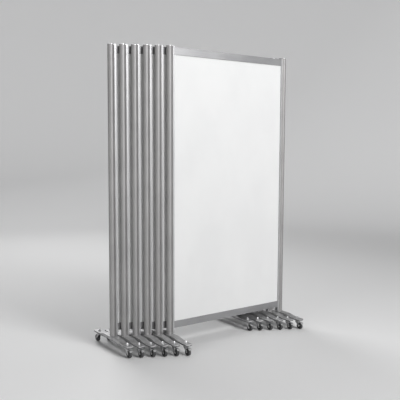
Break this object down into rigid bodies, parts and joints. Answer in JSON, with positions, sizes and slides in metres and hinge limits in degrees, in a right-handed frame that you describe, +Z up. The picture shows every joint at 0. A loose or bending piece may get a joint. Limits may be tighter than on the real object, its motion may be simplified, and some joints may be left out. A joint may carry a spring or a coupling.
{
  "type": "rolling partition",
  "caption": "Rolling partition: a nested set of white boards in round-post aluminium frames, each on T-feet with swivel casters and brake pedals.",
  "frame": {"origin": "on the floor, at the middle of the nested set's footprint", "axes": "+X along the panels to the right seen from the front, -Y towards the front (the panels step towards the front from left to right), +Z up"},
  "size_m": [1.449, 0.6984, 2.08],
  "materials": {
    "post": "satin anodised",
    "rail": "satin anodised",
    "cap": "satin grey",
    "insert": "mill",
    "board": "smooth white laminate",
    "gasket": "matte",
    "foot": "cast, lightly textured",
    "steel": "zinc plated",
    "chrome": "polished",
    "fork": "zinc plated",
    "wheel": "matte dark grey",
    "pedal": "zinc plated",
    "caster": "zinc plated fork with a dark grey tyre"
  },
  "bodies": {
    "panel1": {"panel1_frame": "post", "panel1_board": "board", "panel1_feet": "foot"},
    "panel2": {"panel2_frame": "post", "panel2_board": "board", "panel2_feet": "foot"},
    "panel3": {"panel3_frame": "post", "panel3_board": "board", "panel3_feet": "foot"},
    "panel4": {"panel4_frame": "post", "panel4_board": "board", "panel4_feet": "foot"},
    "panel5": {"panel5_frame": "post", "panel5_board": "board", "panel5_feet": "foot"},
    "front_panel": {"front_left_post": "post", "front_right_post": "post", "front_post_caps": "cap", "front_post_inserts": "insert", "front_top_rail": "rail", "front_bottom_rail": "rail", "front_rail_connectors": "insert", "front_board": "board", "front_board_gasket": "gasket", "front_left_foot": "foot", "front_right_foot": "foot", "front_foot_bolts": "steel", "front_caster_stems": "steel", "front_acorn_nuts": "chrome"},
    "panel1_caster_front_left": {"panel1_caster_front_left": "caster"},
    "panel1_caster_rear_left": {"panel1_caster_rear_left": "caster"},
    "panel1_caster_front_right": {"panel1_caster_front_right": "caster"},
    "panel1_caster_rear_right": {"panel1_caster_rear_right": "caster"},
    "panel2_caster_front_left": {"panel2_caster_front_left": "caster"},
    "panel2_caster_rear_left": {"panel2_caster_rear_left": "caster"},
    "panel2_caster_front_right": {"panel2_caster_front_right": "caster"},
    "panel2_caster_rear_right": {"panel2_caster_rear_right": "caster"},
    "panel3_caster_front_left": {"panel3_caster_front_left": "caster"},
    "panel3_caster_rear_left": {"panel3_caster_rear_left": "caster"},
    "panel3_caster_front_right": {"panel3_caster_front_right": "caster"},
    "panel3_caster_rear_right": {"panel3_caster_rear_right": "caster"},
    "panel4_caster_front_left": {"panel4_caster_front_left": "caster"},
    "panel4_caster_rear_left": {"panel4_caster_rear_left": "caster"},
    "panel4_caster_front_right": {"panel4_caster_front_right": "caster"},
    "panel4_caster_rear_right": {"panel4_caster_rear_right": "caster"},
    "panel5_caster_front_left": {"panel5_caster_front_left": "caster"},
    "panel5_caster_rear_left": {"panel5_caster_rear_left": "caster"},
    "panel5_caster_front_right": {"panel5_caster_front_right": "caster"},
    "panel5_caster_rear_right": {"panel5_caster_rear_right": "caster"},
    "front_fork_front_left": {"front_fork_front_left": "fork"},
    "front_wheel_front_left": {"front_wheel_front_left": "wheel"},
    "front_brake_pedal_left": {"front_brake_pedal_left": "pedal"},
    "front_fork_rear_left": {"front_fork_rear_left": "fork"},
    "front_wheel_rear_left": {"front_wheel_rear_left": "wheel"},
    "front_fork_front_right": {"front_fork_front_right": "fork"},
    "front_wheel_front_right": {"front_wheel_front_right": "wheel"},
    "front_brake_pedal_right": {"front_brake_pedal_right": "pedal"},
    "front_fork_rear_right": {"front_fork_rear_right": "fork"},
    "front_wheel_rear_right": {"front_wheel_rear_right": "wheel"}
  },
  "joints": [
    {"name": "panel2_roll_out", "type": "slide", "parent": "panel1", "child": "panel2", "axis": [0, -1, 0], "range_m": [0, 0.6]},
    {"name": "panel3_roll_out", "type": "slide", "parent": "panel2", "child": "panel3", "axis": [0, -1, 0], "range_m": [0, 0.6]},
    {"name": "panel4_roll_out", "type": "slide", "parent": "panel3", "child": "panel4", "axis": [0, -1, 0], "range_m": [0, 0.6]},
    {"name": "panel5_roll_out", "type": "slide", "parent": "panel4", "child": "panel5", "axis": [0, -1, 0], "range_m": [0, 0.6]},
    {"name": "front_panel_roll_out", "type": "slide", "parent": "panel5", "child": "front_panel", "axis": [0, -1, 0], "range_m": [0, 0.6]},
    {"name": "panel1_swivel_front_left", "type": "hinge", "parent": "panel1", "child": "panel1_caster_front_left", "pos_m": [-0.6995, -0.10375, 0.06], "axis": [0, 0, 1], "continuous": true},
    {"name": "panel1_swivel_rear_left", "type": "hinge", "parent": "panel1", "child": "panel1_caster_rear_left", "pos_m": [-0.6995, 0.29825, 0.06], "axis": [0, 0, 1], "continuous": true},
    {"name": "panel1_swivel_front_right", "type": "hinge", "parent": "panel1", "child": "panel1_caster_front_right", "pos_m": [0.3545, -0.10375, 0.06], "axis": [0, 0, 1], "continuous": true},
    {"name": "panel1_swivel_rear_right", "type": "hinge", "parent": "panel1", "child": "panel1_caster_rear_right", "pos_m": [0.3545, 0.29825, 0.06], "axis": [0, 0, 1], "continuous": true},
    {"name": "panel2_swivel_front_left", "type": "hinge", "parent": "panel2", "child": "panel2_caster_front_left", "pos_m": [-0.6305, -0.14125, 0.06], "axis": [0, 0, 1], "continuous": true},
    {"name": "panel2_swivel_rear_left", "type": "hinge", "parent": "panel2", "child": "panel2_caster_rear_left", "pos_m": [-0.6305, 0.26075, 0.06], "axis": [0, 0, 1], "continuous": true},
    {"name": "panel2_swivel_front_right", "type": "hinge", "parent": "panel2", "child": "panel2_caster_front_right", "pos_m": [0.4235, -0.14125, 0.06], "axis": [0, 0, 1], "continuous": true},
    {"name": "panel2_swivel_rear_right", "type": "hinge", "parent": "panel2", "child": "panel2_caster_rear_right", "pos_m": [0.4235, 0.26075, 0.06], "axis": [0, 0, 1], "continuous": true},
    {"name": "panel3_swivel_front_left", "type": "hinge", "parent": "panel3", "child": "panel3_caster_front_left", "pos_m": [-0.5615, -0.17875, 0.06], "axis": [0, 0, 1], "continuous": true},
    {"name": "panel3_swivel_rear_left", "type": "hinge", "parent": "panel3", "child": "panel3_caster_rear_left", "pos_m": [-0.5615, 0.22325, 0.06], "axis": [0, 0, 1], "continuous": true},
    {"name": "panel3_swivel_front_right", "type": "hinge", "parent": "panel3", "child": "panel3_caster_front_right", "pos_m": [0.4925, -0.17875, 0.06], "axis": [0, 0, 1], "continuous": true},
    {"name": "panel3_swivel_rear_right", "type": "hinge", "parent": "panel3", "child": "panel3_caster_rear_right", "pos_m": [0.4925, 0.22325, 0.06], "axis": [0, 0, 1], "continuous": true},
    {"name": "panel4_swivel_front_left", "type": "hinge", "parent": "panel4", "child": "panel4_caster_front_left", "pos_m": [-0.4925, -0.21625, 0.06], "axis": [0, 0, 1], "continuous": true},
    {"name": "panel4_swivel_rear_left", "type": "hinge", "parent": "panel4", "child": "panel4_caster_rear_left", "pos_m": [-0.4925, 0.18575, 0.06], "axis": [0, 0, 1], "continuous": true},
    {"name": "panel4_swivel_front_right", "type": "hinge", "parent": "panel4", "child": "panel4_caster_front_right", "pos_m": [0.5615, -0.21625, 0.06], "axis": [0, 0, 1], "continuous": true},
    {"name": "panel4_swivel_rear_right", "type": "hinge", "parent": "panel4", "child": "panel4_caster_rear_right", "pos_m": [0.5615, 0.18575, 0.06], "axis": [0, 0, 1], "continuous": true},
    {"name": "panel5_swivel_front_left", "type": "hinge", "parent": "panel5", "child": "panel5_caster_front_left", "pos_m": [-0.4235, -0.25375, 0.06], "axis": [0, 0, 1], "continuous": true},
    {"name": "panel5_swivel_rear_left", "type": "hinge", "parent": "panel5", "child": "panel5_caster_rear_left", "pos_m": [-0.4235, 0.14825, 0.06], "axis": [0, 0, 1], "continuous": true},
    {"name": "panel5_swivel_front_right", "type": "hinge", "parent": "panel5", "child": "panel5_caster_front_right", "pos_m": [0.6305, -0.25375, 0.06], "axis": [0, 0, 1], "continuous": true},
    {"name": "panel5_swivel_rear_right", "type": "hinge", "parent": "panel5", "child": "panel5_caster_rear_right", "pos_m": [0.6305, 0.14825, 0.06], "axis": [0, 0, 1], "continuous": true},
    {"name": "front_swivel_front_left", "type": "hinge", "parent": "front_panel", "child": "front_fork_front_left", "pos_m": [-0.3545, -0.29125, 0.06], "axis": [0, 0, 1], "continuous": true},
    {"name": "front_wheel_spin_front_left", "type": "hinge", "parent": "front_fork_front_left", "child": "front_wheel_front_left", "pos_m": [-0.3545, -0.31725, 0.025], "axis": [1, 0, 0], "continuous": true},
    {"name": "front_brake_press_left", "type": "hinge", "parent": "front_fork_front_left", "child": "front_brake_pedal_left", "pos_m": [-0.3545, -0.30385, 0.0542], "axis": [1, 0, 0], "range_deg": [0, 10]},
    {"name": "front_swivel_rear_left", "type": "hinge", "parent": "front_panel", "child": "front_fork_rear_left", "pos_m": [-0.3545, 0.11075, 0.06], "axis": [0, 0, 1], "continuous": true},
    {"name": "front_wheel_spin_rear_left", "type": "hinge", "parent": "front_fork_rear_left", "child": "front_wheel_rear_left", "pos_m": [-0.3545, 0.13675, 0.025], "axis": [1, 0, 0], "continuous": true},
    {"name": "front_swivel_front_right", "type": "hinge", "parent": "front_panel", "child": "front_fork_front_right", "pos_m": [0.6995, -0.29125, 0.06], "axis": [0, 0, 1], "continuous": true},
    {"name": "front_wheel_spin_front_right", "type": "hinge", "parent": "front_fork_front_right", "child": "front_wheel_front_right", "pos_m": [0.6995, -0.31725, 0.025], "axis": [1, 0, 0], "continuous": true},
    {"name": "front_brake_press_right", "type": "hinge", "parent": "front_fork_front_right", "child": "front_brake_pedal_right", "pos_m": [0.6995, -0.30385, 0.0542], "axis": [1, 0, 0], "range_deg": [0, 10]},
    {"name": "front_swivel_rear_right", "type": "hinge", "parent": "front_panel", "child": "front_fork_rear_right", "pos_m": [0.6995, 0.11075, 0.06], "axis": [0, 0, 1], "continuous": true},
    {"name": "front_wheel_spin_rear_right", "type": "hinge", "parent": "front_fork_rear_right", "child": "front_wheel_rear_right", "pos_m": [0.6995, 0.13675, 0.025], "axis": [1, 0, 0], "continuous": true}
  ]
}
